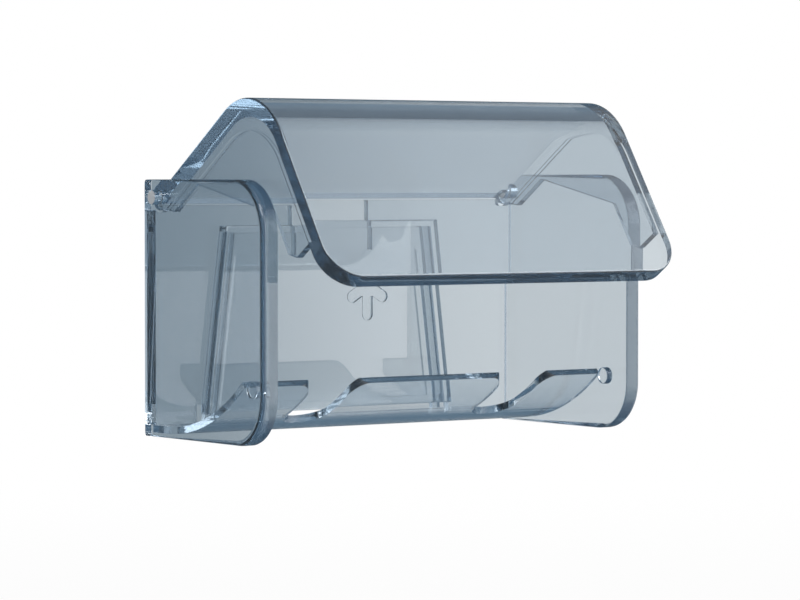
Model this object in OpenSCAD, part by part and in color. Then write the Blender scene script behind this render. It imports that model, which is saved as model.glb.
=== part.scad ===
// Wall-mounted toothbrush holder with a hinged dust lid, in millimetres.
// The origin is the middle of the adhesive face that sticks to the wall.
// X runs to the right, Z runs up, and the holder stands out from the wall along -Y.
// Outlines of the side view are drawn as distance from the wall against height.

/* [Housing] */
// Width over both cheeks
housing_w = 100; // [96:1:160]
// Height of the cheeks
housing_h = 55.7; // [52:0.1:80]
// Distance from the wall to the cheeks' front edges
housing_d = 47.4; // [44:0.1:70]
// Thickness of each cheek
cheek_t = 3.9; // [2.5:0.1:6]
// Radius of the cheeks' upper front corners
cheek_top_r = 11.5; // [4:0.5:16]
// Radius of the cheeks' lower front corners
cheek_low_r = 10.5; // [4:0.5:16]
// Thickness of the back panel
panel_t = 1.8; // [1.4:0.1:3]
// Gap between the housing's back and the wall
wall_gap = 0.3; // [0.1:0.1:0.8]

/* [Pocket] */
// Half width of the pocket at its top edge
pocket_top_half_w = 26.7; // [20:0.1:34]
// Half width of the pocket at its bottom edge
pocket_low_half_w = 31.7; // [24:0.1:38]
// Drop from the back panel's top edge to the pocket's top edge
pocket_drop = 4.5; // [3:0.1:8]
// Gap between the pocket's foot and the rack
pocket_foot_gap = 2.1; // [0.5:0.1:6]
// How far the pocket stands out from the back panel
pocket_rise = 2.9; // [2.4:0.1:5]
// Thickness of the pocket's front and sides
pocket_wall = 1.5; // [1:0.1:2]
// Width of the notches in the panel beside the pocket's foot
foot_notch_w = 1; // [0.5:0.1:6]
// Height of those notches above the rack
foot_notch_h = 4.1; // [2:0.1:8]
// Sideways offset of the housing's middle from the pocket's middle
housing_shift = 3; // [-6:0.1:6]

/* [Arrow] */
// Width of the arrow's strokes
arrow_stroke = 2.7; // [1.5:0.1:4]
// Length of the arrow's stem between stroke centres
arrow_stem = 6.6; // [4:0.1:10]
// Sideways reach of the arrow's head
arrow_reach = 4.1; // [2.5:0.1:6]
// Drop of the arrow's head over that reach
arrow_head_drop = 2.6; // [1:0.1:5]
// Depth of the engraving
arrow_depth = 0.3; // [0.1:0.1:0.6]
// Sideways place of the arrow from the pocket's middle
arrow_x = 8.5; // [-12:0.1:12]
// Height of the arrow's tip below the pocket's top edge
arrow_drop = 13.6; // [8:0.1:24]

/* [Wall plate] */
// Thickness of the adhesive pad
pad_t = 0.8; // [0.5:0.1:1.2]
// Margin of the pad inside the plate's back
pad_margin = 1.5; // [0.5:0.1:4]
// Thickness of the plate's front flange
flange_t = 0.9; // [0.6:0.1:1.2]
// Overlap of the flange in front of the back panel
flange_lap = 1.5; // [1:0.1:3]
// Clearance all round the plate in the housing
plate_clear = 0.15; // [0.1:0.05:0.3]
// Half width of the plate's centre tongue
tongue_half_w = 9.1; // [5:0.1:14]
// Length of the slits beside the tongue
tongue_slit_h = 5; // [3:0.5:12]
// Width of the slits beside the tongue
tongue_slit_w = 0.4; // [0.3:0.1:1]

/* [Lid] */
// Thickness of the lid's sheet
sheet_t = 4; // [3:0.1:5]
// Outer radius of the lid's bend
bend_r = 16; // [10:0.5:18]
// Drop from the cheeks' top to the closed lid's top
lid_drop = 0.95; // [0.5:0.05:2]
// How far the closed lid stands in front of the cheeks
lid_proud = 0.4; // [0:0.1:2]
// Height of the closed lid's lower edge above the cheeks' bottom
lid_lift = 3.15; // [1:0.05:8]
// Gap between the lid and each cheek
lid_gap = 0.45; // [0.3:0.05:1]
// Radius of the lid's lower corners
lid_corner_r = 8; // [3:0.5:12]
// Angle that the lid stands open at rest
lid_open = 33.5; // [0:0.5:80]

/* [Lid end plates] */
// Depth of the end rim below the sheet's underside
rim_depth = 2.5; // [1.5:0.1:3]
// Thickness of the end rim
rim_t = 2.3; // [1.8:0.1:3]
// Inner radius of the rim at the bend
rim_r = 14; // [8:0.5:16]
// Thickness of the web
web_t = 1.6; // [1:0.1:1.8]
// Step from the rim's inner face to the web's inner face
web_step = 0.3; // [0.1:0.1:0.5]
// Depth of the web's rear arm below the sheet's underside
web_depth = 4.4; // [3.5:0.1:6]
// Reach of the web's rear arm from the hinge
web_reach = 13.5; // [8:0.5:18]
// Width of the web's front arm behind the sheet
web_front_w = 8.1; // [5:0.1:12]
// Height of the web's front arm
web_front_h = 9.8; // [6:0.1:14]
// Height of the web's foot above the lid's lower edge
foot_lift = 10.9; // [9:0.1:16]
// Chamfer of the web's foot
foot_chamfer = 2.5; // [1:0.1:4]

/* [Hinge] */
// Drop from the closed lid's top face to the hinge axis
hinge_drop = 2.9; // [2.6:0.1:3.5]
// Gap between the wall and the lid's nose
nose_wall_gap = 0.1; // [0.1:0.1:1]
// Diameter of the hinge pins
pin_d = 3.1; // [2:0.1:3.6]
// Radial clearance of the pins in the cheeks
pin_clear = 0.05; // [0.02:0.01:0.1]
// Radial clearance of the pins in the lid
pin_seat = 0.01; // [0:0.005:0.02]
// How far the lid's sheet reaches behind the hinge axis
rear_lap = 1.1; // [0.5:0.1:1.6]
// Gap between the back panel's top edge and the closed lid's underside
panel_gap = 0.7; // [0.4:0.1:2]
// Width of the notches that clear the lid's nose
notch_w = 3.2; // [2.8:0.1:6]
// Depth of those notches below the lid's nose
notch_gap = 0.4; // [0.3:0.1:4]
// Radius of the notches' lower corners
notch_r = 0.8; // [0.3:0.1:1.4]

/* [Rack] */
// Thickness of the rack's sheet
rack_t = 1.5; // [1.2:0.1:3]
// Height of the rack's underside above the cheeks' bottom
rack_lift = 0.75; // [0:0.05:3]
// Distance from the cheeks' front edges back to the rack's front edge
rack_setback = 9.6; // [8:0.1:16]
// Rise of the rack's underside from back to front
rack_rise = 11.4; // [6:0.1:18]
// Flat length of the rack in front of the back panel
rack_flat = 4.6; // [1:0.1:8]
// Gap between the rack and each cheek
rack_gap = 0.1; // [0.05:0.05:0.3]
// Gap between the rack's rear flange and the wall
flange_wall_gap = 0.6; // [0.3:0.1:1]
// Distance between the middles of the two slots
slot_pitch = 50.4; // [40:0.1:70]
// Width of each slot
slot_w = 10.6; // [8:0.1:14]
// Length of each slot from the rack's front edge
slot_len = 16.3; // [12:0.1:24]
// Radius of the slots' flared mouths
flare_r = 3.8; // [2:0.1:8]
// Clearance between the rack and the wall plate's way out
exit_clear = 0.6; // [0.4:0.1:2]

/* [Stop studs] */
// Diameter of the studs that stop the closing lid
stud_d = 3.7; // [2:0.1:5]
// How far the studs stand out from the cheeks
stud_h = 1.4; // [1:0.1:3]
// Gap between the studs and the rack's front edge
stud_gap = 0.8; // [0.3:0.1:3]
// Gap between the studs and the closed lid's feet
stop_gap = 0.3; // [0.2:0.05:1]

/* [Hidden] */
$fn = 96;

// Overrun of every cut past the face that it leaves
over = 1;

// Heights below are from the middle of the cheeks, and depths from the wall
half_w = housing_w / 2;
half_h = housing_h / 2;
inner_half_w = half_w - cheek_t;
panel_front = wall_gap + panel_t;
pocket_front = panel_front + pocket_rise;
cavity_front = pocket_front - pocket_wall;

lid_top_z = half_h - lid_drop;
lid_low_z = lid_lift - half_h;
under_z = lid_top_z - sheet_t;
lid_front = housing_d + lid_proud;
lid_inner = lid_front - sheet_t;
lid_half_w = inner_half_w - lid_gap;
hinge_z = lid_top_z - hinge_drop;
hinge_f = hinge_drop + nose_wall_gap;

rack_low_z = rack_lift - half_h;
rack_top_z = rack_low_z + rack_t;

panel_top_z = under_z - panel_gap;
pocket_top_z = panel_top_z - pocket_drop;
pocket_low_z = rack_top_z + pocket_foot_gap;
pocket_h = pocket_top_z - pocket_low_z;
cavity_top_z = pocket_top_z - pocket_wall;
side_slope = (pocket_low_half_w - pocket_top_half_w) / pocket_h;
side_stretch = sqrt(1 + side_slope * side_slope);

foot_notch_z = rack_top_z + foot_notch_h;
foot_notch_half_w = pocket_low_half_w + foot_notch_w;

plate_top_z = cavity_top_z - plate_clear;
plate_low_z = pocket_low_z + plate_clear;
plate_mid_z = (plate_top_z + plate_low_z) / 2;
stem_front = panel_front + plate_clear;
flange_front = stem_front + flange_t;
cavity_in = pocket_wall;
opening_in = cavity_in + flange_lap + plate_clear;
flange_in = cavity_in + plate_clear;
stem_in = opening_in + plate_clear;
tongue_notch_half_w = tongue_half_w + tongue_slit_w;
tongue_top_z = panel_top_z - plate_clear;

web_free_f = lid_inner - web_front_w;
foot_z = lid_low_z + foot_lift;
web_arm_z = under_z - web_depth;
web_heel = hinge_drop;

rack_front = housing_d - rack_setback;
rack_start = panel_front + rack_flat;
rack_run = rack_front - rack_start;
rack_r = (rack_run * rack_run + rack_rise * rack_rise) / (2 * rack_rise);
rack_angle = asin(rack_run / rack_r);
rack_half_w = inner_half_w - rack_gap;
rack_exit_f = flange_front + exit_clear;
rack_exit_half_w = pocket_low_half_w + exit_clear + side_slope * (pocket_low_z + half_h);

stud_r = stud_d / 2;
stud_f = rack_front + stud_gap + stud_r;
stud_z = foot_z - stop_gap - stud_r;

smoke = [0.42, 0.52, 0.6, 0.45];
clear = [0.8, 0.85, 0.88, 0.6];

// Half width of the pocket's outer side at height z
function pocket_half_w(z) = pocket_top_half_w + (pocket_top_z - z) * side_slope;

// Puts the housing's middle where its pocket seats on the wall plate
module at_housing() {
    translate([housing_shift, 0, -plate_mid_z])
        children();
}

// Turns what is drawn for the closed lid to the angle at rest
module at_lid() {
    at_housing()
        translate([0, -hinge_f, hinge_z])
            rotate([-lid_open, 0, 0])
                translate([0, hinge_f, -hinge_z])
                    children();
}

// Extrudes a side view from x0 to x1
module side_slab(x0, x1) {
    translate([x0, 0, 0])
        rotate([90, 0, 90])
            linear_extrude(x1 - x0)
                mirror([1, 0])
                    children();
}

// Extrudes a front view between two distances from the wall
module front_slab(f0, f1) {
    translate([0, -f0, 0])
        rotate([90, 0, 0])
            linear_extrude(f1 - f0)
                children();
}

// Draws the same thing on both sides of the middle
module both_sides() {
    children();
    mirror([1, 0, 0])
        children();
}

// What is cut off a square corner to leave it round, drawn at the arc's centre
module corner_bite(r) {
    difference() {
        square(r + over);
        circle(r);
    }
}

// Rectangle whose corner at x1, y1 is round
module round_corner_block(x0, y0, x1, y1, r) {
    difference() {
        translate([x0, y0])
            square([x1 - x0, y1 - y0]);
        translate([x1 - r, y1 - r])
            corner_bite(r);
    }
}

// The pocket's outline, drawn in by a wall, between two heights
module wedge(inset, z0, z1) {
    side = inset * side_stretch;
    polygon([
        [-pocket_half_w(z0) + side, z0],
        [pocket_half_w(z0) - side, z0],
        [pocket_half_w(z1) - side, z1],
        [-pocket_half_w(z1) + side, z1]
    ]);
}

module cheek_outline() {
    difference() {
        translate([wall_gap, -half_h])
            square([housing_d - wall_gap, housing_h]);
        translate([housing_d - cheek_top_r, half_h - cheek_top_r])
            corner_bite(cheek_top_r);
        translate([housing_d - cheek_low_r, cheek_low_r - half_h])
            mirror([0, 1])
                corner_bite(cheek_low_r);
    }
}

// The notch in the panel's top corner, open at the top, beside a cheek
module nose_notch() {
    low_z = hinge_z - hinge_drop - notch_gap;
    inner_x = inner_half_w - notch_w;
    translate([inner_x, low_z + notch_r])
        square([notch_w, panel_top_z - low_z]);
    translate([inner_x + notch_r, low_z])
        square([notch_w - 2 * notch_r, panel_top_z - low_z]);
    for (x = [inner_x + notch_r, inner_half_w - notch_r])
        translate([x, low_z + notch_r])
            circle(notch_r);
}

module panel_outline() {
    low_z = rack_top_z + rack_gap;
    difference() {
        translate([-half_w + cheek_t / 2, low_z])
            square([housing_w - cheek_t, panel_top_z - low_z]);
        nose_notch();
        mirror([1, 0])
            nose_notch();
    }
}

module arrow_stroke_shape(p, q) {
    step = q - p;
    length = norm(step);
    translate(p)
        rotate(atan2(step[1], step[0])) {
            translate([0, -arrow_stroke / 2])
                square([length, arrow_stroke]);
            circle(arrow_stroke / 2);
            translate([length, 0])
                circle(arrow_stroke / 2);
        }
}

module arrow_outline() {
    tip = [arrow_x, pocket_top_z - arrow_drop];
    arrow_stroke_shape(tip, tip - [0, arrow_stem]);
    for (side = [-1, 1])
        arrow_stroke_shape(tip, tip + [side * arrow_reach, -arrow_head_drop]);
}

module housing() {
    color(smoke)
        at_housing()
            difference() {
                union() {
                    both_sides()
                        side_slab(inner_half_w, half_w)
                            cheek_outline();
                    front_slab(wall_gap, panel_front)
                        panel_outline();
                    translate([-housing_shift, 0, 0])
                        front_slab(panel_front - panel_t / 2, pocket_front)
                            wedge(0, pocket_low_z, pocket_top_z);
                    both_sides()
                        side_slab(inner_half_w - stud_h, inner_half_w + cheek_t / 2)
                            translate([stud_f, stud_z])
                                circle(stud_r);
                }
                translate([-housing_shift, 0, 0]) {
                    front_slab(wall_gap - over, panel_front + over)
                        wedge(opening_in, -half_h - over, cavity_top_z);
                    front_slab(panel_front, cavity_front)
                        wedge(cavity_in, -half_h - over, cavity_top_z);
                    front_slab(wall_gap - over, stem_front)
                        translate([-tongue_notch_half_w, cavity_top_z - over])
                            square([2 * tongue_notch_half_w, panel_top_z - cavity_top_z + 2 * over]);
                    front_slab(wall_gap - over, panel_front)
                        difference() {
                            translate([-foot_notch_half_w, -half_h - over])
                                square([2 * foot_notch_half_w, foot_notch_z + half_h + over]);
                            wedge(cavity_in, -half_h - 2 * over, pocket_top_z);
                        }
                    front_slab(pocket_front - arrow_depth, pocket_front + over)
                        arrow_outline();
                }
                both_sides()
                    side_slab(inner_half_w - over, half_w + over)
                        translate([hinge_f, hinge_z])
                            circle(pin_d / 2 + pin_clear);
            }
}

module wall_plate() {
    color(clear)
        translate([0, 0, -plate_mid_z]) {
            difference() {
                union() {
                    front_slab(pad_t, stem_front + flange_t / 2)
                        wedge(stem_in, plate_low_z, plate_top_z);
                    front_slab(stem_front, flange_front)
                        wedge(flange_in, plate_low_z, plate_top_z);
                }
                for (side = [-1, 1])
                    translate([side * (tongue_half_w + tongue_slit_w / 2), 0, 0])
                        front_slab(pad_t - over, flange_front + over)
                            translate([-tongue_slit_w / 2, plate_top_z - tongue_slit_h])
                                square([tongue_slit_w, tongue_slit_h + over]);
            }
            front_slab(pad_t, panel_front)
                translate([-tongue_half_w, plate_top_z - tongue_slit_h])
                    square([2 * tongue_half_w, tongue_top_z - plate_top_z + tongue_slit_h]);
        }
}

module adhesive_pad() {
    color("whitesmoke")
        translate([0, 0, -plate_mid_z])
            front_slab(0, pad_t)
                wedge(stem_in + pad_margin, plate_low_z + pad_margin, plate_top_z - tongue_slit_h);
}

// The rack's side view: a flat rear flange that curves up to the front edge
module rack_section() {
    intersection() {
        translate([rack_start, rack_low_z + rack_r])
            difference() {
                circle(rack_r);
                circle(rack_r - rack_t);
            }
        polygon([
            [rack_start, rack_low_z + rack_r],
            [rack_start, rack_low_z - rack_r],
            [rack_start + 2 * rack_r * tan(rack_angle), rack_low_z - rack_r]
        ]);
    }
    translate([flange_wall_gap, rack_low_z])
        square([rack_start - flange_wall_gap, rack_t]);
}

// One slot seen from above, open at the rack's front edge
module slot_outline() {
    half = slot_w / 2;
    end_f = rack_front - slot_len + half;
    translate([0, end_f])
        circle(half);
    translate([-half, end_f])
        square([slot_w, rack_front - end_f + over]);
    difference() {
        translate([-half - flare_r, rack_front - flare_r])
            square([slot_w + 2 * flare_r, flare_r + over]);
        for (side = [-1, 1])
            translate([side * (half + flare_r), rack_front - flare_r])
                circle(flare_r);
    }
}

module toothbrush_rack() {
    color(smoke)
        at_housing()
            difference() {
                side_slab(-rack_half_w, rack_half_w)
                    rack_section();
                for (side = [-1, 1])
                    translate([side * slot_pitch / 2, 0, rack_low_z - over])
                        linear_extrude(rack_rise + rack_t + 2 * over)
                            mirror([0, 1])
                                slot_outline();
                translate([-housing_shift, 0, 0])
                    front_slab(flange_wall_gap - over, rack_exit_f)
                        translate([-rack_exit_half_w, rack_low_z - over])
                            square([2 * rack_exit_half_w, rack_t + 2 * over]);
            }
}

// The bent sheet's side view, closed, with its rear end kept inside the nose's radius
module lid_outer_outline(low_z) {
    round_corner_block(hinge_f, low_z, lid_front, lid_top_z, bend_r);
    intersection() {
        translate([hinge_f, hinge_z])
            circle(hinge_drop);
        translate([hinge_f - rear_lap, under_z])
            square([2 * rear_lap, sheet_t]);
    }
}

module sheet_section() {
    difference() {
        lid_outer_outline(lid_low_z);
        round_corner_block(-over, lid_low_z - over, lid_inner, under_z, bend_r - sheet_t);
    }
}

module rim_section() {
    difference() {
        round_corner_block(hinge_f, lid_low_z, lid_front, lid_top_z, bend_r);
        round_corner_block(-over, lid_low_z - over, lid_inner, under_z - rim_depth, rim_r);
    }
    translate([hinge_f, hinge_z])
        circle(hinge_drop);
}

module web_section() {
    knee_z = foot_z + web_front_h;
    intersection() {
        round_corner_block(hinge_f - over, foot_z, lid_front, lid_top_z, bend_r);
        polygon([
            [hinge_f, hinge_z],
            [hinge_f, hinge_z - hinge_drop],
            [hinge_f + web_heel, web_arm_z],
            [hinge_f + web_reach, web_arm_z],
            [web_free_f, knee_z],
            [web_free_f, foot_z + foot_chamfer],
            [web_free_f + foot_chamfer, foot_z],
            [lid_front, foot_z],
            [lid_front, lid_top_z],
            [hinge_f, lid_top_z]
        ]);
    }
}

module lid() {
    color(smoke)
        at_lid()
            difference() {
                union() {
                    side_slab(-lid_half_w, lid_half_w)
                        sheet_section();
                    both_sides() {
                        side_slab(lid_half_w - rim_t, lid_half_w)
                            rim_section();
                        side_slab(lid_half_w - rim_t + web_step, lid_half_w - rim_t + web_step + web_t)
                            web_section();
                    }
                }
                both_sides()
                    translate([lid_half_w - lid_corner_r, 0, lid_low_z + lid_corner_r])
                        front_slab(lid_inner - over, lid_front + over)
                            mirror([0, 1])
                                corner_bite(lid_corner_r);
                both_sides()
                    side_slab(lid_half_w - rim_t - over, lid_half_w + over)
                        translate([hinge_f, hinge_z])
                            circle(pin_d / 2 + pin_seat);
            }
}

// A pin from the inner face of the lid's rim to the outer face of the cheek
module hinge_pin() {
    color(clear)
        at_housing()
            side_slab(lid_half_w - rim_t, half_w)
                translate([hinge_f, hinge_z])
                    circle(pin_d / 2);
}

module hinge_pin_left() {
    translate([2 * housing_shift, 0, 0])
        mirror([1, 0, 0])
            hinge_pin();
}

module hinge_pin_right() {
    hinge_pin();
}

wall_plate();
adhesive_pad();
housing();
toothbrush_rack();
lid();
hinge_pin_left();
hinge_pin_right();
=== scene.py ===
# %% [markdown]
# # A wall-mounted toothbrush holder in clear smoke plastic
#
# The holder is a small family of mouldings: a housing with two D-shaped cheeks, a curved
# rack with two slots, a bent lid on two pins, and a plate that stays on the wall. The
# engineering model already holds each of them at its true size, so this lesson models the
# same pieces again with the soft edges that light needs, and gives them their plastics.
# We start by loading that model as the frame that everything is fitted to.

# %% Load the frame
import math

import bmesh
import bpy
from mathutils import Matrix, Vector


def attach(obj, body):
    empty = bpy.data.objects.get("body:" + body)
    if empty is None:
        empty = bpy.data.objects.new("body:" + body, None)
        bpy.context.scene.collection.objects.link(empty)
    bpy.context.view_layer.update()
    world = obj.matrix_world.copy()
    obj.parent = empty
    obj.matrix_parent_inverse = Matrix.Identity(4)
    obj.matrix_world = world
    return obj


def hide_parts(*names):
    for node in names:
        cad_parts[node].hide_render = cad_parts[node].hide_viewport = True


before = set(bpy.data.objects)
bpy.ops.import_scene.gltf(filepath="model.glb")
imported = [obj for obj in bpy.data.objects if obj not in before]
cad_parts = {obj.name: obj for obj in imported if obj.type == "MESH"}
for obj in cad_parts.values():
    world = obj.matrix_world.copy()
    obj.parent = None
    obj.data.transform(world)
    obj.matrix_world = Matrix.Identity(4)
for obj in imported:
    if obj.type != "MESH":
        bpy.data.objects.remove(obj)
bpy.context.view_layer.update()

# %% [markdown]
# ## The camera
#
# A photograph and a render can only be compared when both look from the same place. The
# holder is seen from its left and almost level. A long lens keeps its far cheek nearly as
# tall as its near one. The camera is made first, so that every later step can be checked.

# %% Camera
CAMERA_PLACE = (-0.43591, -0.65116, 0.03121)
CAMERA_YAW = math.radians(-35.05)
CAMERA_PITCH = math.radians(90 - 1.96)
LENS_MM = 156.8

camera_data = bpy.data.cameras.new("holder_camera")
camera_data.lens = LENS_MM
camera_data.sensor_width = 36
camera_data.clip_start = 0.01
camera = bpy.data.objects.new("holder_camera", camera_data)
camera.location = CAMERA_PLACE
camera.rotation_euler = (CAMERA_PITCH, 0, CAMERA_YAW)
bpy.context.scene.collection.objects.link(camera)
bpy.context.scene.camera = camera
print("camera lens:", LENS_MM, "mm")

# %% [markdown]
# ## A maker's way of placing things
#
# The holder is drawn from its side: how far something stands from the wall, and how high
# it is from the middle of the cheeks. These helpers turn such a place into a point in
# Blender, so the numbers below can be read off the real object in millimetres. The lid's
# hinge is the one place that several pieces share, so it is named here. Two small lengths
# come back everywhere: a cutter stands a millimetre past what it cuts, and a hair's
# breadth keeps two faces from lying on each other.

# %% Places in millimetres
MM = 0.001
MIDDLE_X = 3.0
MIDDLE_Z = 3.65
HINGE_F = 3.0
HINGE_H = 24.0
OVER = 1.0
HAIR = 0.01


def spot(x, depth, height):
    """A point from its place across, its depth from the wall and its height."""
    return Vector(((x + MIDDLE_X) * MM, -depth * MM, (height + MIDDLE_Z) * MM))


def place_of(point):
    """The same three numbers back from a point."""
    return (point.x / MM - MIDDLE_X, -point.y / MM, point.z / MM - MIDDLE_Z)


HINGE = spot(0, HINGE_F, HINGE_H)
print("hinge axis at", [round(c * 1000, 2) for c in HINGE])
print("cutters stand out by", OVER, "mm, and a hair is", HAIR, "mm")

# %% [markdown]
# ## Blocks and bars
#
# Everything starts as a block or a round bar at its real size. Both could be stretched
# from a unit shape by eye, but a mould is made to numbers, so the helpers take the two
# ends along each direction. An operator works on whatever is selected, so each helper
# first lets go of everything.


# %% Starting shapes
def let_go():
    """Leaves nothing selected."""
    bpy.ops.object.select_all(action="DESELECT")


def hold(piece):
    """Makes a piece the only one that operators act on."""
    let_go()
    piece.select_set(True)
    bpy.context.view_layer.objects.active = piece


def settled(name):
    """The object just added, named, with its place and size moved into its mesh."""
    piece = bpy.context.object
    piece.name = name
    bpy.ops.object.transform_apply(location=True, rotation=True, scale=True)
    return piece


def block(name, x, depth, height):
    """A box between two places along each direction."""
    low = spot(x[0], depth[1], height[0])
    high = spot(x[1], depth[0], height[1])
    let_go()
    bpy.ops.mesh.primitive_cube_add(size=1, location=(low + high) / 2)
    bpy.context.object.dimensions = high - low
    return settled(name)


def bar(name, x, depth, height, radius, segments=48):
    """A round bar that runs across the holder."""
    let_go()
    bpy.ops.mesh.primitive_cylinder_add(
        vertices=segments, radius=radius * MM, depth=(x[1] - x[0]) * MM,
        location=spot((x[0] + x[1]) / 2, depth, height), rotation=(0, math.pi / 2, 0))
    return settled(name)


print("ready: block and bar")

# %% [markdown]
# ## Picking by place
#
# With a mouse we would click on the edges that the mould rounds. In a script the same
# edges are found by where they are: a test looks at the two ends of each edge, or at the
# middle of each face. Bevel, resize and spin then work on what was picked, as by hand.

# %% Picking edges and faces
EDGE_MODE = (False, True, False)
FACE_MODE = (False, False, True)


def near(value, target, room=0.02):
    """Whether two numbers in millimetres are the same place."""
    return abs(value - target) < room


def both_at(axis, target):
    """A test for edges that lie at one value of a direction."""
    return lambda a, b: near(a[axis], target) and near(b[axis], target)


def across(depth, height):
    """A test for edges that run across the holder at one depth and height."""
    return lambda a, b: both_at(1, depth)(a, b) and both_at(2, height)(a, b)


def start_picking(piece, mode):
    """Opens a piece in edit mode with nothing picked."""
    hold(piece)
    bpy.ops.object.mode_set(mode="EDIT")
    bpy.context.tool_settings.mesh_select_mode = mode
    bpy.ops.mesh.select_all(action="DESELECT")
    return bmesh.from_edit_mesh(piece.data)


def pick_edges(piece, wanted):
    """Selects the edges whose two end places pass the test, and leaves edit mode on."""
    mesh = start_picking(piece, EDGE_MODE)
    picked = 0
    for edge in mesh.edges:
        if wanted(place_of(edge.verts[0].co), place_of(edge.verts[1].co)):
            edge.select_set(True)
            picked += 1
    bmesh.update_edit_mesh(piece.data)
    return picked


def pick_faces(piece, wanted):
    """Selects the faces whose middle place passes the test, and leaves edit mode on."""
    mesh = start_picking(piece, FACE_MODE)
    picked = 0
    for face in mesh.faces:
        if wanted(place_of(face.calc_center_median())):
            face.select_set(True)
            picked += 1
    bmesh.update_edit_mesh(piece.data)
    return picked


print("ready: pick_edges and pick_faces")

# %% [markdown]
# ## Two ways to round an edge
#
# A moulding has no knife-sharp edge, and its edges are what shows clear plastic at all.
# Where one corner is wide and its neighbour is slim, we bevel the picked edges in edit
# mode. Where every edge of a piece is alike, a Bevel modifier by angle is quicker, and
# applying it leaves a plain mesh that can still be cut. A round end is two corners of
# almost half the width each, because two bevels that meet exactly leave doubled points.

# %% Rounding
ALMOST = 0.999


def round_edges(piece, wanted, radius, segments):
    """Bevels the picked edges in edit mode."""
    picked = pick_edges(piece, wanted)
    bpy.ops.mesh.bevel(offset=radius * MM, offset_type="OFFSET", segments=segments,
                       profile=0.5, affect="EDGES", clamp_overlap=False)
    bpy.ops.object.mode_set(mode="OBJECT")
    print(f"{piece.name}: {picked} edges rounded to {radius} mm")


def soften(piece, radius, segments=3, angle=35):
    """Rounds every edge sharper than an angle with an applied Bevel modifier."""
    hold(piece)
    bevel = piece.modifiers.new("soft_edges", "BEVEL")
    bevel.width = radius * MM
    bevel.segments = segments
    bevel.limit_method = "ANGLE"
    bevel.angle_limit = math.radians(angle)
    bevel.use_clamp_overlap = True
    bpy.ops.object.modifier_apply(modifier=bevel.name)
    print(f"{piece.name}: softened by {radius} mm")


print("ready: round_edges and soften")

# %% [markdown]
# ## Joining and cutting
#
# The mould joins several plain shapes and cores others out. The Boolean modifier does
# both. Its exact solver is slower than the fast one, but it keeps the joined mesh closed,
# and glass needs a closed mesh.


# %% Booleans
def combine(piece, tool, how):
    """Joins a tool to a piece or cuts it away, and throws the tool away."""
    hold(piece)
    step = piece.modifiers.new("cut", "BOOLEAN")
    step.operation = how
    step.solver = "EXACT"
    step.object = tool
    bpy.ops.object.modifier_apply(modifier=step.name)
    print(f"{piece.name}: {how.lower()} with {tool.name}")
    bpy.data.objects.remove(tool, do_unlink=True)
    return piece


def cut(piece, tool):
    """Takes the tool's shape out of the piece."""
    return combine(piece, tool, "DIFFERENCE")


def join(piece, tool):
    """Makes one closed piece of the two."""
    return combine(piece, tool, "UNION")


print("ready: cut and join")

# %% [markdown]
# ## Copying, turning and trimming
#
# The holder is the same on both sides, so a cheek or a pin is made once and mirrored in
# edit mode, each copy with its own mesh. Turning and trimming happen in edit mode too,
# and so every finished object stays at the origin, unturned.


# %% Mirror, swing and trim
def edit_all(piece):
    """Opens a piece in edit mode with all of it picked."""
    hold(piece)
    bpy.ops.object.mode_set(mode="EDIT")
    bpy.ops.mesh.select_all(action="SELECT")


def mirrored(piece, name):
    """A copy on the other side of the holder's middle, with its own mesh."""
    hold(piece)
    bpy.ops.object.duplicate(linked=False)
    copy = bpy.context.object
    copy.name = name
    edit_all(copy)
    bpy.ops.transform.resize(value=(-1, 1, 1), center_override=spot(0, 0, 0))
    bpy.ops.mesh.normals_make_consistent(inside=False)
    bpy.ops.object.mode_set(mode="OBJECT")
    print(f"{name}: mirrored from {piece.name}")
    return copy


def swing(piece, degrees, axis, centre):
    """Turns a piece's mesh about an axis through a point."""
    edit_all(piece)
    bpy.ops.transform.rotate(value=math.radians(degrees), orient_axis=axis,
                             orient_type="GLOBAL", center_override=centre)
    bpy.ops.object.mode_set(mode="OBJECT")


def trim(piece, at, outwards):
    """Cuts a piece along a plane, throws away the outer side and closes the cut."""
    edit_all(piece)
    bpy.ops.mesh.bisect(plane_co=at, plane_no=outwards, use_fill=True, clear_outer=True)
    bpy.ops.object.mode_set(mode="OBJECT")


print("ready: mirrored, swing and trim")

# %% [markdown]
# ## Closing a mesh
#
# After its last cut a piece is cleaned once: doubled points are merged, faces turned
# outwards, and round parts shaded smooth. On clear plastic a flat face that is shaded
# with its rounded edge looks warped, so weighted normals keep the large faces flat. The
# print counts open edges, which must be none.


# %% Finish a mesh
def tidy_mesh(piece, angle=30):
    """Merges doubled points, faces everything outwards and shades the round parts smooth."""
    edit_all(piece)
    bpy.ops.mesh.remove_doubles(threshold=0.0002 * MM)
    bpy.ops.mesh.normals_make_consistent(inside=False)
    bpy.ops.object.mode_set(mode="OBJECT")
    bpy.ops.object.shade_smooth_by_angle(angle=math.radians(angle))
    weigh = piece.modifiers.new("flat_stays_flat", "WEIGHTED_NORMAL")
    weigh.mode = "FACE_AREA"
    weigh.weight = 100
    weigh.keep_sharp = True
    bpy.ops.object.modifier_apply(modifier=weigh.name)
    mesh = bmesh.new()
    mesh.from_mesh(piece.data)
    loose = sum(1 for edge in mesh.edges if len(edge.link_faces) != 2)
    print(f"{piece.name}: {len(mesh.faces)} faces, {loose} open edges,",
          f"{mesh.calc_volume() * 1e9:.0f} mm3")
    mesh.free()


print("ready: tidy_mesh")

# %% [markdown]
# ## The housing's cheeks
#
# The cheeks, the back panel and the raised pocket are one moulding. We make each as a
# block, round its edges while it is still simple, and only then join them, because a
# bevel is cleanest on a plain shape. A cheek is round on its outer side and crisp on its
# inner side. Its small rear corners come before the outer outline, so that the two
# roundings don't run into each other.

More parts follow.
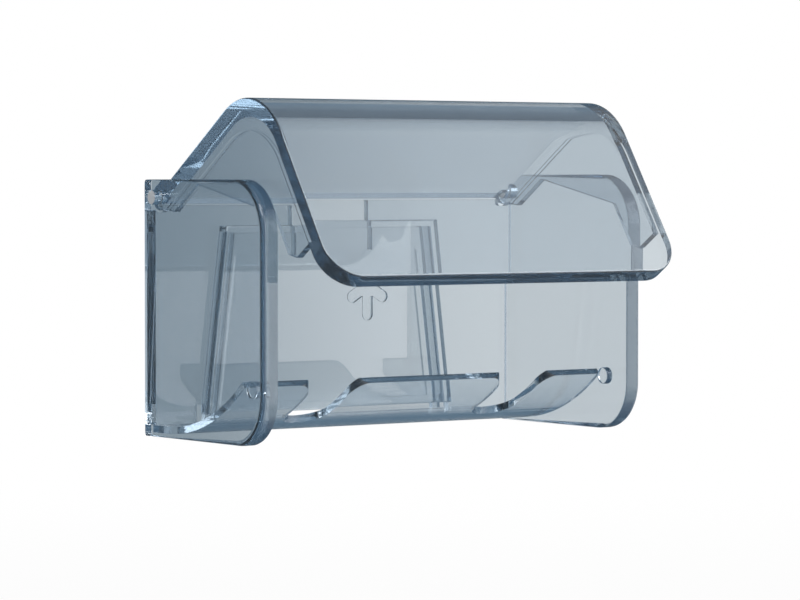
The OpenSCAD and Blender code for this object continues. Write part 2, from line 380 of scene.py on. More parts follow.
# %% Cheeks
HALF_W = 50.0
CHEEK_IN = 46.1
CHEEK_MID = 48.05
HALF_H = 27.85
FRONT = 47.4
BACK = 0.3
CHEEK_TOP_R = 11.5
CHEEK_LOW_R = 10.5
CHEEK_REAR_R = 0.8
CHEEK_OUTLINE_R = 1.2
CHEEK_INNER_R = 0.25


def rear_corners(a, b):
    return across(BACK, HALF_H)(a, b) or across(BACK, -HALF_H)(a, b)


def outer_but_rear(a, b):
    return both_at(0, HALF_W)(a, b) and max(a[1], b[1]) > BACK + CHEEK_REAR_R + 0.05


housing = block("housing_body", (CHEEK_IN, HALF_W), (BACK, FRONT), (-HALF_H, HALF_H))
round_edges(housing, across(FRONT, HALF_H), CHEEK_TOP_R, 20)
round_edges(housing, across(FRONT, -HALF_H), CHEEK_LOW_R, 20)
round_edges(housing, rear_corners, CHEEK_REAR_R, 4)
round_edges(housing, outer_but_rear, CHEEK_OUTLINE_R, 5)
round_edges(housing, both_at(0, CHEEK_IN), CHEEK_INNER_R, 2)
left_cheek = mirrored(housing, "left_cheek")

# %% [markdown]
# ## The back panel
#
# The panel is a plain sheet between the cheeks. It reaches into the middle of each of
# them, so that the join leaves one solid. A small notch at each upper corner makes room
# for the lid's nose. Its two lower corners are rounded, as a milled pocket's are.

# %% Back panel
PANEL_TOP = 22.2
PANEL_FRONT = 2.1
PANEL_LOW = -25.5
PANEL_EDGE_R = 0.2
NOTCH_X = (42.9, 46.1)
NOTCH_LOW = 20.7
NOTCH_R = 0.8

panel = block("panel", (-CHEEK_MID, CHEEK_MID), (BACK, PANEL_FRONT), (PANEL_LOW, PANEL_TOP))
soften(panel, PANEL_EDGE_R, 2)
right_notch = block("notch_cutter", NOTCH_X, (BACK - OVER, PANEL_FRONT + OVER),
                    (NOTCH_LOW, PANEL_TOP + 2 * OVER))
round_edges(right_notch, lambda a, b: both_at(2, NOTCH_LOW)(a, b) and near(a[0], b[0]), NOTCH_R, 8)
left_notch = mirrored(right_notch, "left_notch")
cut(panel, right_notch)
cut(panel, left_notch)

# %% [markdown]
# ## The pocket
#
# The pocket is the raised wedge in the middle of the panel that the wall plate slides
# into. It is wider below than above. A block becomes such a wedge when its lower face is
# widened in edit mode, and the same helper, drawn in by an inset, will make the hollow
# and the plate, so all their sides lean alike.

# %% Pocket
POCKET_X = -3.0
POCKET_TOP = 17.7
POCKET_LOW = -23.5
POCKET_TOP_HALF = 26.7
POCKET_LOW_HALF = 31.7
POCKET_FRONT = 5.0
POCKET_LAP = 0.9
POCKET_EDGE_R = 0.35
POCKET_WALL = 1.5
SLOPE = (POCKET_LOW_HALF - POCKET_TOP_HALF) / (POCKET_TOP - POCKET_LOW)
STRETCH = math.sqrt(1 + SLOPE * SLOPE)


def pocket_half(height):
    """Half the pocket's width at a height."""
    return POCKET_TOP_HALF + (POCKET_TOP - height) * SLOPE


def wedge(name, inset, depth, height):
    """A block whose two sides lean like the pocket's, drawn in by an inset."""
    side = inset * STRETCH
    top_half = pocket_half(height[1]) - side
    low_half = pocket_half(height[0]) - side
    piece = block(name, (POCKET_X - top_half, POCKET_X + top_half), depth, height)
    pick_faces(piece, lambda at: near(at[2], height[0]))
    bpy.ops.transform.resize(value=(low_half / top_half, 1, 1),
                             center_override=spot(POCKET_X, sum(depth) / 2, height[0]))
    bpy.ops.object.mode_set(mode="OBJECT")
    print(f"{name}: {2 * top_half:.1f} mm wide above, {2 * low_half:.1f} mm below")
    return piece


pocket = wedge("pocket", 0, (PANEL_FRONT - POCKET_LAP, POCKET_FRONT), (POCKET_LOW, POCKET_TOP))
round_edges(pocket, both_at(1, POCKET_FRONT), POCKET_EDGE_R, 3)

# %% [markdown]
# ## The stop studs
#
# A round stud on each cheek's inner side stops the lid when it closes. It is a short bar
# that starts in the middle of the cheek and stands out a little way.

# %% Stop studs
STUD_DEPTH = 40.45
STUD_HEIGHT = -15.95
STUD_R = 1.85
STUD_REACH = 1.4
STUD_EDGE_R = 0.25

stud = bar("stud", (CHEEK_IN - STUD_REACH, CHEEK_MID), STUD_DEPTH, STUD_HEIGHT, STUD_R)
round_edges(stud, both_at(0, CHEEK_IN - STUD_REACH), STUD_EDGE_R, 2)
left_stud = mirrored(stud, "left_stud")

# %% [markdown]
# ## One moulding
#
# In the mould all of this is one piece of plastic. We join it before hollowing it out,
# because inner faces between touching solids would show as ghost walls in clear plastic.

# %% Join the housing
for part in (panel, left_cheek, pocket, stud, left_stud):
    join(housing, part)

# %% [markdown]
# ## Room for the wall plate
#
# The hollow has two steps. The opening in the panel is the narrower one, and behind the
# pocket's front the cavity is wider, so that the plate's flange is caught between them.
# A notch in the panel's top edge takes the plate's tongue, and below, the panel is cut
# back beside the pocket's feet.

# %% Cut the pocket's inside
STEM_FRONT = 2.25
CAVITY_FRONT = 3.5
CAVITY_TOP = 16.2
OPENING_IN = 3.15
TONGUE_ROOM_HALF = 9.5
FOOT_NOTCH_HALF = 32.7
FOOT_NOTCH_TOP = -21.5
BELOW = -HALF_H - OVER

cut(housing, wedge("opening", OPENING_IN, (BACK - OVER, PANEL_FRONT + OVER), (BELOW, CAVITY_TOP)))
cut(housing, wedge("cavity", POCKET_WALL, (PANEL_FRONT, CAVITY_FRONT), (BELOW, CAVITY_TOP)))
cut(housing, block("tongue_notch", (POCKET_X - TONGUE_ROOM_HALF, POCKET_X + TONGUE_ROOM_HALF),
                   (BACK - OVER, STEM_FRONT), (CAVITY_TOP - OVER, PANEL_TOP + OVER)))
foot = block("foot_notch", (POCKET_X - FOOT_NOTCH_HALF, POCKET_X + FOOT_NOTCH_HALF),
             (BACK - OVER, PANEL_FRONT), (BELOW, FOOT_NOTCH_TOP))
cut(foot, wedge("foot_keep", POCKET_WALL, (BACK - 2 * OVER, PANEL_FRONT + OVER),
                (BELOW - OVER, POCKET_TOP)))
cut(housing, foot)

# %% [markdown]
# ## Bores for the pins
#
# Each pin turns in a plain bore right through its cheek, close to the wall. The bore is
# a little wider than the pin, which is what lets the lid swing.

# %% Bores
PIN_R = 1.55
PIN_PLAY = 0.05

for name, reach in (("bore_right", (CHEEK_IN - OVER, HALF_W + OVER)),
                    ("bore_left", (-HALF_W - OVER, -CHEEK_IN + OVER))):
    cut(housing, bar(name, reach, HINGE_F, HINGE_H, PIN_R + PIN_PLAY))

# %% [markdown]
# ## The arrow in the pocket
#
# A shallow arrow marks the way the housing lifts off its plate. It is engraved 0.5 mm
# deep with round ends, like a line that a milling cutter leaves. It could be a bump in
# the material, but an engraving catches light on its own walls. So each stroke is a slim
# block with its four corners rounded, turned to its angle, and cut away. The strokes of
# the head start a touch beside the tip, so that no two round ends lie on each other.

# %% Arrow
ARROW_X = 5.5
ARROW_TOP = 4.1
ARROW_STROKE = 2.7
ARROW_DEPTH = 0.5
ARROW_STEM = 6.6
ARROW_REACH = 4.1
ARROW_DROP = 2.6
ARROW_SHIFT = 0.06


def stroke_cutter(shift, x1, z1):
    """A slim block with round ends from beside the arrow's tip to another place."""
    x0 = ARROW_X + shift
    length = math.hypot(x1 - x0, z1 - ARROW_TOP)
    half = ARROW_STROKE / 2
    piece = block("stroke", (x0 - half, x0 + half),
                  (POCKET_FRONT - ARROW_DEPTH, POCKET_FRONT + OVER),
                  (ARROW_TOP - length - half, ARROW_TOP + half))
    round_edges(piece, lambda a, b: near(a[0], b[0]) and near(a[2], b[2]), half * ALMOST, 10)
    swing(piece, math.degrees(math.atan2(x1 - x0, ARROW_TOP - z1)), "Y", spot(x0, 0, ARROW_TOP))
    return piece


arrow = stroke_cutter(0, ARROW_X, ARROW_TOP - ARROW_STEM)
for side in (1, -1):
    join(arrow, stroke_cutter(side * ARROW_SHIFT, ARROW_X - side * ARROW_REACH,
                              ARROW_TOP - ARROW_DROP))
cut(housing, arrow)
tidy_mesh(housing)

# %% [markdown]
# ## The rack
#
# The rack is a thin sheet that lies flat behind and curves up to its front edge. A spin
# bends it the way a heated sheet is bent over a bar: its end face is turned about an axis
# across the holder, in many small steps. A curve with a bevel could do it too, but the
# spin gives clean flat ends at once.

# %% Rack sheet
RACK_HALF = 46.0
RACK_T = 1.5
RACK_LOW = -27.1
RACK_BACK = 0.9
RACK_START = 6.7
RACK_FRONT = 37.8
RACK_RISE = 11.4
RACK_RUN = RACK_FRONT - RACK_START
RACK_R = (RACK_RUN ** 2 + RACK_RISE ** 2) / (2 * RACK_RISE)
RACK_ANGLE = math.asin(RACK_RUN / RACK_R)

rack = block("rack", (-RACK_HALF, RACK_HALF), (RACK_BACK, RACK_START),
             (RACK_LOW, RACK_LOW + RACK_T))
pick_faces(rack, lambda at: near(at[1], RACK_START))
bpy.ops.mesh.spin(steps=36, angle=RACK_ANGLE, center=spot(0, RACK_START, RACK_LOW + RACK_R),
                  axis=(1, 0, 0), dupli=False)
bpy.ops.object.mode_set(mode="OBJECT")
rack_corner = min((v.co for v in rack.data.vertices), key=lambda c: c.y)
print("rack front corner:", [round(v, 2) for v in place_of(rack_corner)])

# %% [markdown]
# ## The rack's slots
#
# Each slot has a round rear end, straight sides and a mouth that flares at the front
# edge. The flare is what two round bars leave of a block, so the cutter's mouth is a
# block with a bar cut from each side, joined to a block with two round corners.

# %% Rack slots
SLOT_HALF = 5.3
SLOT_X = 25.2
SLOT_REAR = RACK_FRONT - 16.3
SLOT_MOUTH = RACK_FRONT + 4 * OVER
FLARE_R = 3.8
FLARE_BAR = 30
RACK_TALL = (RACK_LOW - OVER, RACK_LOW + RACK_RISE + RACK_T + OVER)


def upright_bar(name, x, depth, height, radius, length):
    """A round bar that stands upright."""
    let_go()
    bpy.ops.mesh.primitive_cylinder_add(vertices=64, radius=radius * MM, depth=length * MM,
                                        location=spot(x, depth, height))
    return settled(name)


def slot_cutter(x):
    """A cutter with a round rear end and a mouth that flares at the front edge."""
    piece = block("slot", (x - SLOT_HALF, x + SLOT_HALF), (SLOT_REAR, SLOT_MOUTH), RACK_TALL)
    round_edges(piece, lambda a, b: both_at(1, SLOT_REAR)(a, b) and near(a[0], b[0]),
                SLOT_HALF * ALMOST, 16)
    flare = SLOT_HALF + FLARE_R
    mouth = block("mouth", (x - flare, x + flare), (RACK_FRONT - FLARE_R, SLOT_MOUTH), RACK_TALL)
    for side in (-1, 1):
        cut(mouth, upright_bar("flare", x + side * flare, RACK_FRONT - FLARE_R, RACK_LOW + 6,
                               FLARE_R, FLARE_BAR))
    return join(piece, mouth)


for x in (-SLOT_X, SLOT_X):
    cut(rack, slot_cutter(x))

# %% [markdown]
# ## The rack's rear edge
#
# The wall plate comes down through the rack's rear edge when the housing is lifted off,
# so the edge has a wide shallow cut there. The whole sheet then gets its soft edges.

# %% Plate exit
EXIT_HALF = 32.8
EXIT_FRONT = 3.75
RACK_EDGE_R = 0.35

cut(rack, block("plate_exit", (POCKET_X - EXIT_HALF, POCKET_X + EXIT_HALF), (-OVER, EXIT_FRONT),
                (RACK_LOW - OVER, RACK_LOW + RACK_T + OVER)))
soften(rack, RACK_EDGE_R, 3, 40)
tidy_mesh(rack, 25)

# %% [markdown]
# ## The lid's outer shape
#
# The lid is a thick sheet with one broad bend. Each end carries a rim below the sheet and
# a thinner web that reaches the hinge and the stop. It is easiest to model it closed,
# where all its faces are square to the holder, and to swing it open at the very end. The
# edges round its outer face get a fine radius, and its rear edge stays crisp.

# %% Lid sheet
LID_TOP = 26.9
LID_FRONT = 47.8
LID_LOW = -24.7
LID_HALF = 45.65
LID_REAR = 1.9
LID_CORNER_R = 8.0
LID_EDGE_R = 0.45
BEND_R = 16.0


def bent_block(name, x, depth, height, radius, segments=28):
    """A block whose upper front edge is bent to a radius."""
    piece = block(name, x, depth, height)
    round_edges(piece, across(depth[1], height[1]), radius, segments)
    return piece


def lower_corners(a, b):
    return near(abs(a[0]), LID_HALF) and near(a[0], b[0]) and both_at(2, LID_LOW)(a, b)


def outline(a, b):
    """The edges round the lid's outer face: both ends, the lower corners and the lower edge."""
    if both_at(1, LID_FRONT)(a, b):
        return a[2] < 0 or near(a[0], b[0])
    at_end = near(abs(a[0]), LID_HALF) and near(a[0], b[0])
    return at_end and not both_at(1, LID_REAR)(a, b) and min(a[2], b[2]) > 0


lid = bent_block("lid_body", (-LID_HALF, LID_HALF), (LID_REAR, LID_FRONT),
                 (LID_LOW, LID_TOP), BEND_R)
round_edges(lid, lower_corners, LID_CORNER_R, 16)
round_edges(lid, outline, LID_EDGE_R, 4)

# %% [markdown]
# ## Hollow under the sheet
#
# Two cuts leave the sheet and its rims. The first hollows the lid between the rims, with
# a bend that keeps the sheet equally thick all round. The second goes right across and
# leaves each rim its depth below the sheet.

# %% Hollow the lid out
SHEET_T = 4.0
RIM_IN = 43.35
RIM_DEPTH = 2.5
RIM_BEND_R = 14.0
INSIDE_FRONT = LID_FRONT - SHEET_T
UNDER = LID_TOP - SHEET_T

cut(lid, bent_block("lid_inside", (-RIM_IN, RIM_IN), (-OVER, INSIDE_FRONT),
                    (LID_LOW - OVER, UNDER), BEND_R - SHEET_T))
cut(lid, bent_block("rim_inside", (-LID_HALF - OVER, LID_HALF + OVER), (-OVER, INSIDE_FRONT),
                    (LID_LOW - OVER, UNDER - RIM_DEPTH), RIM_BEND_R))

# %% [markdown]
# ## The lid's webs
#
# The web is an L of thinner plastic inside each rim. A bisect trims its long slanted side
# and its heel, and one flat bevel makes the chamfer of its foot. The webs are drawn a
# little into the sheet, so that the joined mesh has no faces lying on each other.

# %% Webs
WEB_X = (43.65, 45.25)
ARM_LOW = 18.5
FOOT = -13.8
FOOT_CHAMFER = 2.5
WEB_FREE = 35.7
WEB_REACH = 16.5
KNEE = -4.0
INTO = 1.5
NOSE_R = 2.9

web = bent_block("web", WEB_X, (HINGE_F, LID_FRONT - INTO), (FOOT, LID_TOP - INTO),
                 BEND_R - INTO)
window = block("window", (WEB_X[0] - OVER, WEB_X[1] + OVER), (HINGE_F - 2 * OVER, WEB_FREE),
               (FOOT - OVER, ARM_LOW))
trim(window, spot(0, WEB_REACH, ARM_LOW), Vector((0, -(ARM_LOW - KNEE), WEB_FREE - WEB_REACH)))
cut(web, window)
trim(web, spot(0, HINGE_F, HINGE_H - NOSE_R),
     Vector((0, HINGE_H - NOSE_R - ARM_LOW, -NOSE_R)))
round_edges(web, across(WEB_FREE, FOOT), FOOT_CHAMFER, 1)
left_web = mirrored(web, "left_web")
join(lid, web)
join(lid, left_web)

# %% [markdown]
# ## Noses and pin seats
#
# The nose is the round end of each rim that turns about the pin. The rim is cut back to
# the hinge's middle first, and a bar of the nose's size closes it again, so the end is
# truly round. A seat for the pin goes through it.

# %% Noses and seats
NOSE_EDGE_R = 0.3

for side in (-1, 1):
    room = sorted((side * (RIM_IN - HAIR / 2), side * (LID_HALF + OVER)))
    cut(lid, block("nose_room", room, (-OVER, HINGE_F), (LID_LOW, LID_TOP + OVER)))
    span = sorted((side * RIM_IN, side * LID_HALF))
    nose = bar("nose", span, HINGE_F, HINGE_H, NOSE_R - HAIR, 64)
    round_edges(nose, both_at(0, side * LID_HALF), NOSE_EDGE_R, 2)
    join(lid, nose)
    seat = sorted((side * (RIM_IN - OVER), side * (LID_HALF + OVER)))
    cut(lid, bar("seat", seat, HINGE_F, HINGE_H, PIN_R + HAIR))
tidy_mesh(lid)

# %% [markdown]
# ## Open the lid
#
# The holder rests with its lid half open. Friction in the hinge holds it there. The mesh
# is turned about the hinge axis, and not the object, so the object stays unturned.

# %% Swing the lid open
LID_OPEN = 33.5
swing(lid, LID_OPEN, "X", HINGE)
lid_edge = min((v.co for v in lid.data.vertices), key=lambda c: c.y)
print("lid front edge now at", [round(v, 1) for v in place_of(lid_edge)])

# %% [markdown]
# ## The plate on the wall
#
# The plate is a wedge that narrows upwards, so the housing slides down over it and seats.
# Its flange reaches in front of the housing's panel, and a thin tongue between two slits
# fills the notch above it. It is built from the pocket's own wedge, drawn in by the
# clearance, so the fit is the same all round.

# %% Wall plate
PAD_T = 0.8
PLATE_LOW = -23.35
PLATE_TOP = 16.05
PLATE_STEM_IN = 3.3
PLATE_STEM_FRONT = 2.7
FLANGE_IN = 1.65
FLANGE_FRONT = 3.15
PLATE_EDGE_R = 0.15
SLIT_X = 9.3
SLIT_HALF = 0.2
SLIT_LENGTH = 5
TONGUE_HALF = 9.1 - HAIR
TONGUE_ROOT = 4
TONGUE_TOP = 22.05

plate = wedge("plate", PLATE_STEM_IN, (PAD_T, PLATE_STEM_FRONT), (PLATE_LOW, PLATE_TOP))
flange = wedge("flange", FLANGE_IN, (STEM_FRONT, FLANGE_FRONT), (PLATE_LOW, PLATE_TOP))
soften(flange, PLATE_EDGE_R, 2)
join(plate, flange)
for middle in (POCKET_X - SLIT_X, POCKET_X + SLIT_X):
    cut(plate, block("slit", (middle - SLIT_HALF, middle + SLIT_HALF),
                     (PAD_T - OVER, FLANGE_FRONT + OVER),
                     (PLATE_TOP - SLIT_LENGTH, PLATE_TOP + OVER)))
tongue = block("tongue", (POCKET_X - TONGUE_HALF, POCKET_X + TONGUE_HALF),
               (PAD_T + HAIR, PANEL_FRONT), (PLATE_TOP - TONGUE_ROOT, TONGUE_TOP))
soften(tongue, PLATE_EDGE_R, 2)
join(plate, tongue)
tidy_mesh(plate)

# %% [markdown]
# ## The pad behind it
#
# A clear gel pad sticks the plate to the wall. It is a thin wedge again, drawn in further
# than the plate, so that its edge stays hidden behind it.

# %% Adhesive pad
PAD_IN = 4.8
PAD_LOW = -21.85
PAD_TOP = 11.05

pad = wedge("pad", PAD_IN, (0, PAD_T - HAIR), (PAD_LOW, PAD_TOP))
soften(pad, PLATE_EDGE_R, 2)
tidy_mesh(pad)

# %% [markdown]
# ## The hinge pins
#
# Two short pins carry the lid. They are fast in its noses, turn in the cheeks, and end
# level with the cheeks' outer sides. Each is a bar with a softened rim.

# %% Hinge pins
PIN_EDGE_R = 0.2

right_pin = bar("right_pin", (RIM_IN, HALF_W), HINGE_F, HINGE_H, PIN_R, 48)
soften(right_pin, PIN_EDGE_R, 2)
left_pin = mirrored(right_pin, "left_pin")
for pin in (right_pin, left_pin):
    tidy_mesh(pin)

# %% [markdown]
# ## Clear plastic
#
# The colour of clear plastic comes from inside it: a short way through a sheet is pale,
# and a long way along an edge is dark. So the surface stays clear with a light tint, and
# the volume absorbs more red than blue. Handling leaves the gloss a little uneven, which
# a noise on the roughness gives. The noise reads object coordinates, so it stays put on
# the piece.


# %% A clear plastic
def uneven_gloss(nodes, links, low, high):
    """A roughness that wanders between two values over the surface."""
    places = nodes.new("ShaderNodeTexCoord")
    handling = nodes.new("ShaderNodeTexNoise")
    handling.inputs["Scale"].default_value = 90
    handling.inputs["Detail"].default_value = 3
    gloss = nodes.new("ShaderNodeMapRange")
    for socket, value in (("From Min", 0.35), ("From Max", 0.7), ("To Min", low), ("To Max", high)):
        gloss.inputs[socket].default_value = value
    links.new(places.outputs["Object"], handling.inputs["Vector"])
    links.new(handling.outputs["Fac"], gloss.inputs["Value"])
    return gloss.outputs["Result"]


def clear_plastic(name, tint, absorb, density, clearness, index=1.49, roughness=(0.0, 0.03)):
    """A tinted clear plastic that absorbs light inside and has a slightly uneven gloss."""
    material = bpy.data.materials.new(name)
    material.use_nodes = True
    nodes = material.node_tree.nodes
    links = material.node_tree.links
    nodes.clear()
    output = nodes.new("ShaderNodeOutputMaterial")
    surface = nodes.new("ShaderNodeBsdfPrincipled")
    surface.inputs["Base Color"].default_value = (*tint, 1)
    surface.inputs["Transmission Weight"].default_value = clearness
    surface.inputs["IOR"].default_value = index
    inside = nodes.new("ShaderNodeVolumeAbsorption")
    inside.inputs["Color"].default_value = (*absorb, 1)
    inside.inputs["Density"].default_value = density
    links.new(inside.outputs["Volume"], output.inputs["Volume"])
    links.new(uneven_gloss(nodes, links, *roughness), surface.inputs["Roughness"])
    links.new(surface.outputs["BSDF"], output.inputs["Surface"])
    print(f"{name}: absorption {density} per metre")
    return material


print("ready: uneven_gloss and clear_plastic")

# %% [markdown]
# ## Five shades of it
#
# The housing and the lid are smoke blue. The thin rack has a lighter copy of the same
# plastic, painted light that makes it paler, the plate is paler still, and the pins are
# milkier, so that they show in their bores. The gel pad bends light so little that it
# hardly shows through the plate.

# %% The plastics
SMOKE_INSIDE = (0.6, 0.7, 0.775)
FAINT_INSIDE = (0.8, 0.85, 0.9)

smoke = clear_plastic("smoke_plastic", (0.765, 0.815, 0.855), SMOKE_INSIDE, 26, 0.98)
# painted light: the rack gets a lighter copy of the smoke plastic, with less absorption
rack_painted_light_smoke = clear_plastic("rack_smoke_plastic", (0.88, 0.915, 0.94), SMOKE_INSIDE, 14, 0.98)
pale = clear_plastic("pale_plastic", (0.93, 0.945, 0.955), SMOKE_INSIDE, 20, 0.99)
pin_clear = clear_plastic("pin_plastic", (0.86, 0.88, 0.9), FAINT_INSIDE, 10, 0.55,
                          roughness=(0.05, 0.15))
gel = clear_plastic("clear_gel", (0.98, 0.985, 0.99), FAINT_INSIDE, 10, 0.99, index=1.08)

# %% [markdown]
# ## Hand the pieces over to the frame
#
# Each finished piece takes its plastic, says which body it rides on, and stands for the
# plain solid of the engineering model, which is hidden. From here on the lid and the
# housing move as the real ones do.

# %% Plastic, ride and replace
FINISHED = [
    (housing, smoke, "smoke_plastic", "housing", "housing"),
    (rack, rack_painted_light_smoke, "smoke_plastic", "housing", "toothbrush_rack"),
    (lid, smoke, "smoke_plastic", "lid", "lid"),
    (plate, pale, "pale_plastic", "wall_bracket", "wall_plate"),
    (pad, gel, "white_pad", "wall_bracket", "adhesive_pad"),
    (left_pin, pin_clear, "pin_plastic", "lid", "hinge_pin_left"),
    (right_pin, pin_clear, "pin_plastic", "lid", "hinge_pin_right"),
]
for piece, material, slot, body, node in FINISHED:
    piece.data.materials.clear()
    piece.data.materials.append(material)
    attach(piece, body)
    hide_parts(node)
    print(f"{piece.name}: rides on {body} in place of {node}")

# %% [markdown]
# ## Nodes for the surroundings
#
# Clear plastic shows whatever stands round it, so the surroundings matter more than the
# lamps. They are built from a few small nodes that the world and the floor share, so
# each node gets a short helper.


# %% Node helpers
def map_value(nodes, links, source, low, high, to_low, to_high):
    """Turns one range of a value into another, softly."""
    node = nodes.new("ShaderNodeMapRange")
    node.interpolation_type = "SMOOTHSTEP"
    for socket, value in (("From Min", low), ("From Max", high),
                          ("To Min", to_low), ("To Max", to_high)):
        node.inputs[socket].default_value = value
    links.new(source, node.inputs["Value"])
    return node.outputs["Result"]


def reckon(nodes, links, operation, first, second):
    """Reckons with two values, of which the second may be a plain number."""
    node = nodes.new("ShaderNodeMath")
    node.operation = operation
    links.new(first, node.inputs[0])
    if isinstance(second, (int, float)):
        node.inputs[1].default_value = second
    else:
        links.new(second, node.inputs[1])
    return node.outputs["Value"]


def blend_colours(nodes, links, factor, first, second):
    """A colour between two, each a plain colour or another node's output."""
    node = nodes.new("ShaderNodeMix")
    node.data_type = "RGBA"
    links.new(factor, node.inputs["Factor"])
    for socket, colour in ((node.inputs[6], first), (node.inputs[7], second)):
        if isinstance(colour, tuple):
            socket.default_value = (*colour, 1)
        else:
            links.new(colour, socket)
    return node.outputs[2]


def choose_shader(nodes, links, factor, first, second):
    """The first shader where the factor is nought and the second where it is one."""
    node = nodes.new("ShaderNodeMixShader")
    links.new(factor, node.inputs["Fac"])
    links.new(first, node.inputs[1])
    links.new(second, node.inputs[2])
    return node.outputs["Shader"]


print("ready: map_value, reckon, blend_colours and choose_shader")

# %% [markdown]
# ## The studio
#
# The world is a studio that knows directions. Its one marked direction is the softbox, in
# front of the holder and to the right. How far any other direction faces it is a dot
# product, which the next two steps turn into light.

# %% Studio directions
WHITE = (1.0, 1.0, 1.0)
SOFTBOX = (0.60, -0.75, 0.28)

world = bpy.data.worlds.new("studio")
bpy.context.scene.world = world
world.use_nodes = True
sky = world.node_tree.nodes
wires = world.node_tree.links
sky.clear()

heading = sky.new("ShaderNodeTexCoord").outputs["Generated"]
split = sky.new("ShaderNodeSeparateXYZ")
wires.new(heading, split.inputs["Vector"])
dot = sky.new("ShaderNodeVectorMath")
dot.operation = "DOT_PRODUCT"
dot.inputs[1].default_value = SOFTBOX
wires.new(heading, dot.inputs[0])
facing = dot.outputs["Value"]


def background(colour, strength):
    """A background whose colour and strength are plain values or other nodes' outputs."""
    node = sky.new("ShaderNodeBackground")
    if isinstance(colour, tuple):
        node.inputs["Color"].default_value = (*colour, 1)
    else:
        wires.new(colour, node.inputs["Color"])
    if isinstance(strength, (int, float)):
        node.inputs["Strength"].default_value = strength
    else:
        wires.new(strength, node.inputs["Strength"])
    return node.outputs["Background"]


print("softbox towards", SOFTBOX)

# %% [markdown]
# ## What the plastic mirrors
#
# The gloss shows slate blue away from the softbox and white towards it. A clear face
# mirrors only about a twentieth of the light at a square look, so the softbox itself is
# brighter than white, as a real one is.

# %% Mirrored light
SLATE = (0.10, 0.15, 0.20)
SOFTBOX_STRENGTH = 3.0

mirrored_colour = blend_colours(sky, wires, map_value(sky, wires, facing, -0.1, 0.6, 0, 1),
                                SLATE, WHITE)
mirrored_light = background(mirrored_colour,
                            map_value(sky, wires, facing, 0.7, 1.0, 1.0, SOFTBOX_STRENGTH))
print("mirrored: slate", SLATE, "to a softbox of", SOFTBOX_STRENGTH, "times white")

# %% [markdown]
# ## What shows through a sheet
#
# A look straight through a sheet meets a plain backdrop: pale grey on the right, and a
# deeper grey on the left, painted shade as of a shadowed wall, which darkens the near cheek.

# %% Backdrop
# painted shade: the darker left side of the backdrop stands in for shade on the wall behind the
# holder
BACKDROP_LEFT_PAINTED_SHADE = (0.33, 0.385, 0.42)
BACKDROP_RIGHT = (0.76, 0.78, 0.785)

backdrop = blend_colours(sky, wires, map_value(sky, wires, split.outputs["X"], 0.51, 0.60, 0, 1),
                         BACKDROP_LEFT_PAINTED_SHADE, BACKDROP_RIGHT)
print("backdrop:", BACKDROP_LEFT_PAINTED_SHADE, "to", BACKDROP_RIGHT)

# %% [markdown]
# ## Light caught in the edges
#
# Light that was caught inside a thick edge or a bend comes out slate blue, deeper upwards
# and away from the softbox, and paler towards it. Where it leaves level and straight
# ahead, it meets the backdrop like any other look through the holder. The light path's
# glossy depth tells whether a ray was turned round inside the plastic.

# %% Caught light
CAUGHT_AWAY = (0.075, 0.14, 0.21)
CAUGHT_SIDE = (0.185, 0.295, 0.4)
CAUGHT_UP = (0.05, 0.1, 0.15)
CAUGHT_SOFTBOX = (0.57, 0.64, 0.7)

caught = blend_colours(sky, wires, map_value(sky, wires, facing, -0.9, 0.4, 0, 1),
                       CAUGHT_AWAY, CAUGHT_SIDE)
caught = blend_colours(sky, wires, map_value(sky, wires, split.outputs["Z"], 0.1, 0.7, 0, 1),
                       caught, CAUGHT_UP)
caught = blend_colours(sky, wires, map_value(sky, wires, facing, 0.4, 0.95, 0, 1),
                       caught, CAUGHT_SOFTBOX)

rays = sky.new("ShaderNodeLightPath")
straight = reckon(sky, wires, "LESS_THAN", rays.outputs["Glossy Depth"], 0.5)
ahead = map_value(sky, wires, split.outputs["Y"], 0.68, 0.78, 0, 1)
for low, high, to_low, to_high in ((0.12, 0.25, 1, 0), (-0.25, -0.12, 0, 1)):
    level = map_value(sky, wires, split.outputs["Z"], low, high, to_low, to_high)
    ahead = reckon(sky, wires, "MULTIPLY", ahead, level)
on_backdrop = reckon(sky, wires, "MAXIMUM", straight, ahead)
through_colour = blend_colours(sky, wires, on_backdrop, caught, backdrop)
print("caught light:", CAUGHT_AWAY, "to", CAUGHT_SOFTBOX)

# %% [markdown]
# ## One world from these
#
# The camera sees white, mirroring faces see the softbox, rays that went through plastic
# see the backdrop or the caught light, and everything else gets plain soft light. A ray
# that went through plastic also counts as glossy, so its turn comes last.

# %% Put the studio together
ROOM_STRENGTH = 0.6

studio = choose_shader(sky, wires, rays.outputs["Is Camera Ray"],
                       background(WHITE, ROOM_STRENGTH), background(WHITE, 1.0))
studio = choose_shader(sky, wires, rays.outputs["Is Glossy Ray"], studio, mirrored_light)
studio = choose_shader(sky, wires, rays.outputs["Is Transmission Ray"], studio,
                       background(through_colour, 1.0))
wires.new(studio, sky.new("ShaderNodeOutputWorld").inputs["Surface"])
print("world nodes:", len(sky))

# %% [markdown]
# ## The floor
#
# The floor lies a hand's width below the holder. It is a matt near-white for light and
# shadow, mixed with plain white for the camera, more so far away, where it melts into the
# backdrop. Reflections and looks through the plastic pass it, and see the studio.

# %% Floor
FLOOR_Z = -0.14
FLOOR_SIZE = 12
FLOOR_MATT = (0.92, 0.92, 0.92)

let_go()
bpy.ops.mesh.primitive_plane_add(size=FLOOR_SIZE, location=(0, 0, FLOOR_Z))
floor = bpy.context.object
floor.name = "floor"
floor_paint = bpy.data.materials.new("floor_paint")
floor_paint.use_nodes = True
tiles = floor_paint.node_tree.nodes
joints = floor_paint.node_tree.links
tiles.clear()

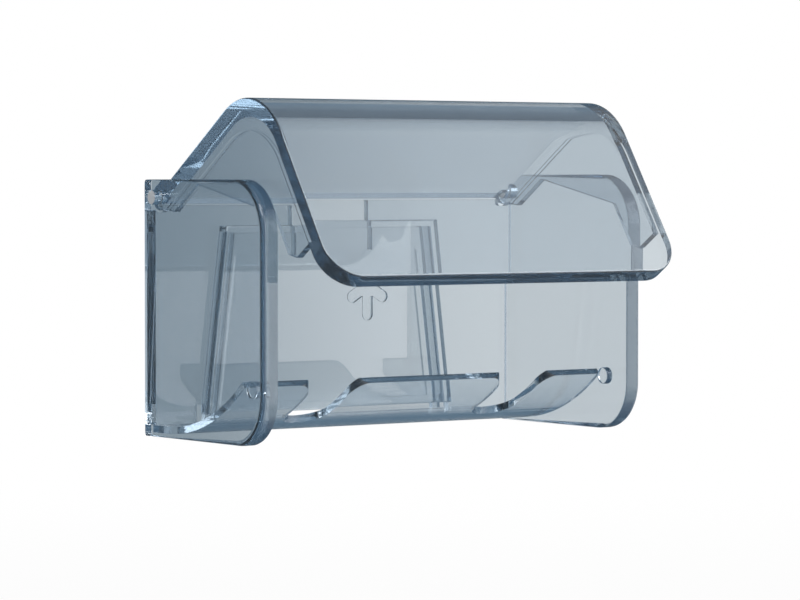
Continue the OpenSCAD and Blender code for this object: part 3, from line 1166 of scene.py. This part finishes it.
matt = tiles.new("ShaderNodeBsdfDiffuse")
matt.inputs["Color"].default_value = (*FLOOR_MATT, 1)
glow = tiles.new("ShaderNodeEmission")
glow.inputs["Color"].default_value = (*WHITE, 1)
clear = tiles.new("ShaderNodeBsdfTransparent")
away = tiles.new("ShaderNodeVectorMath")
away.operation = "LENGTH"
joints.new(tiles.new("ShaderNodeTexCoord").outputs["Object"], away.inputs[0])

floor_rays = tiles.new("ShaderNodeLightPath")
share = reckon(tiles, joints, "MULTIPLY", floor_rays.outputs["Is Camera Ray"],
               map_value(tiles, joints, away.outputs["Value"], 0.3, 1.2, 0.88, 1.0))
paint = choose_shader(tiles, joints, share, matt.outputs["BSDF"], glow.outputs["Emission"])
paint = choose_shader(tiles, joints, floor_rays.outputs["Is Glossy Ray"], paint,
                      clear.outputs["BSDF"])
joints.new(paint, tiles.new("ShaderNodeOutputMaterial").inputs["Surface"])
floor.data.materials.append(floor_paint)
print("floor at", FLOOR_Z * 1000, "mm")

# %% [markdown]
# ## Two lamps
#
# Two large square lamps give the holder its soft shadow and a little shape. They stay
# weak, because the studio already lights the plastic, and the view stays Standard, so
# that a colour comes out as it was written.


# %% Lamps
def soft_lamp(name, place, size, watts):
    """A square area lamp that looks at the holder."""
    data = bpy.data.lights.new(name, "AREA")
    data.size = size
    data.energy = watts
    lamp = bpy.data.objects.new(name, data)
    lamp.location = place
    lamp.rotation_euler = (-Vector(place)).to_track_quat("-Z", "Y").to_euler()
    bpy.context.scene.collection.objects.link(lamp)
    print(f"{name}: {watts} W")
    return lamp


soft_lamp("key_lamp", (-0.6, -0.9, 1.1), 0.7, 9)
soft_lamp("fill_lamp", (0.9, -0.8, 0.5), 0.8, 4)
bpy.context.scene.view_settings.view_transform = "Standard"

# %% [markdown]
# ## Enough bounces
#
# Light that is caught in a thick edge bounces inside it many times before it leaves. With
# too few bounces it is lost, and the edges of the lid turn black.

# %% Bounces in the plastic
PLASTIC_BOUNCES = 48
GLOSS_BOUNCES = 24

bpy.context.scene.cycles.max_bounces = PLASTIC_BOUNCES
bpy.context.scene.cycles.transmission_bounces = PLASTIC_BOUNCES
bpy.context.scene.cycles.glossy_bounces = GLOSS_BOUNCES
print("bounces:", PLASTIC_BOUNCES)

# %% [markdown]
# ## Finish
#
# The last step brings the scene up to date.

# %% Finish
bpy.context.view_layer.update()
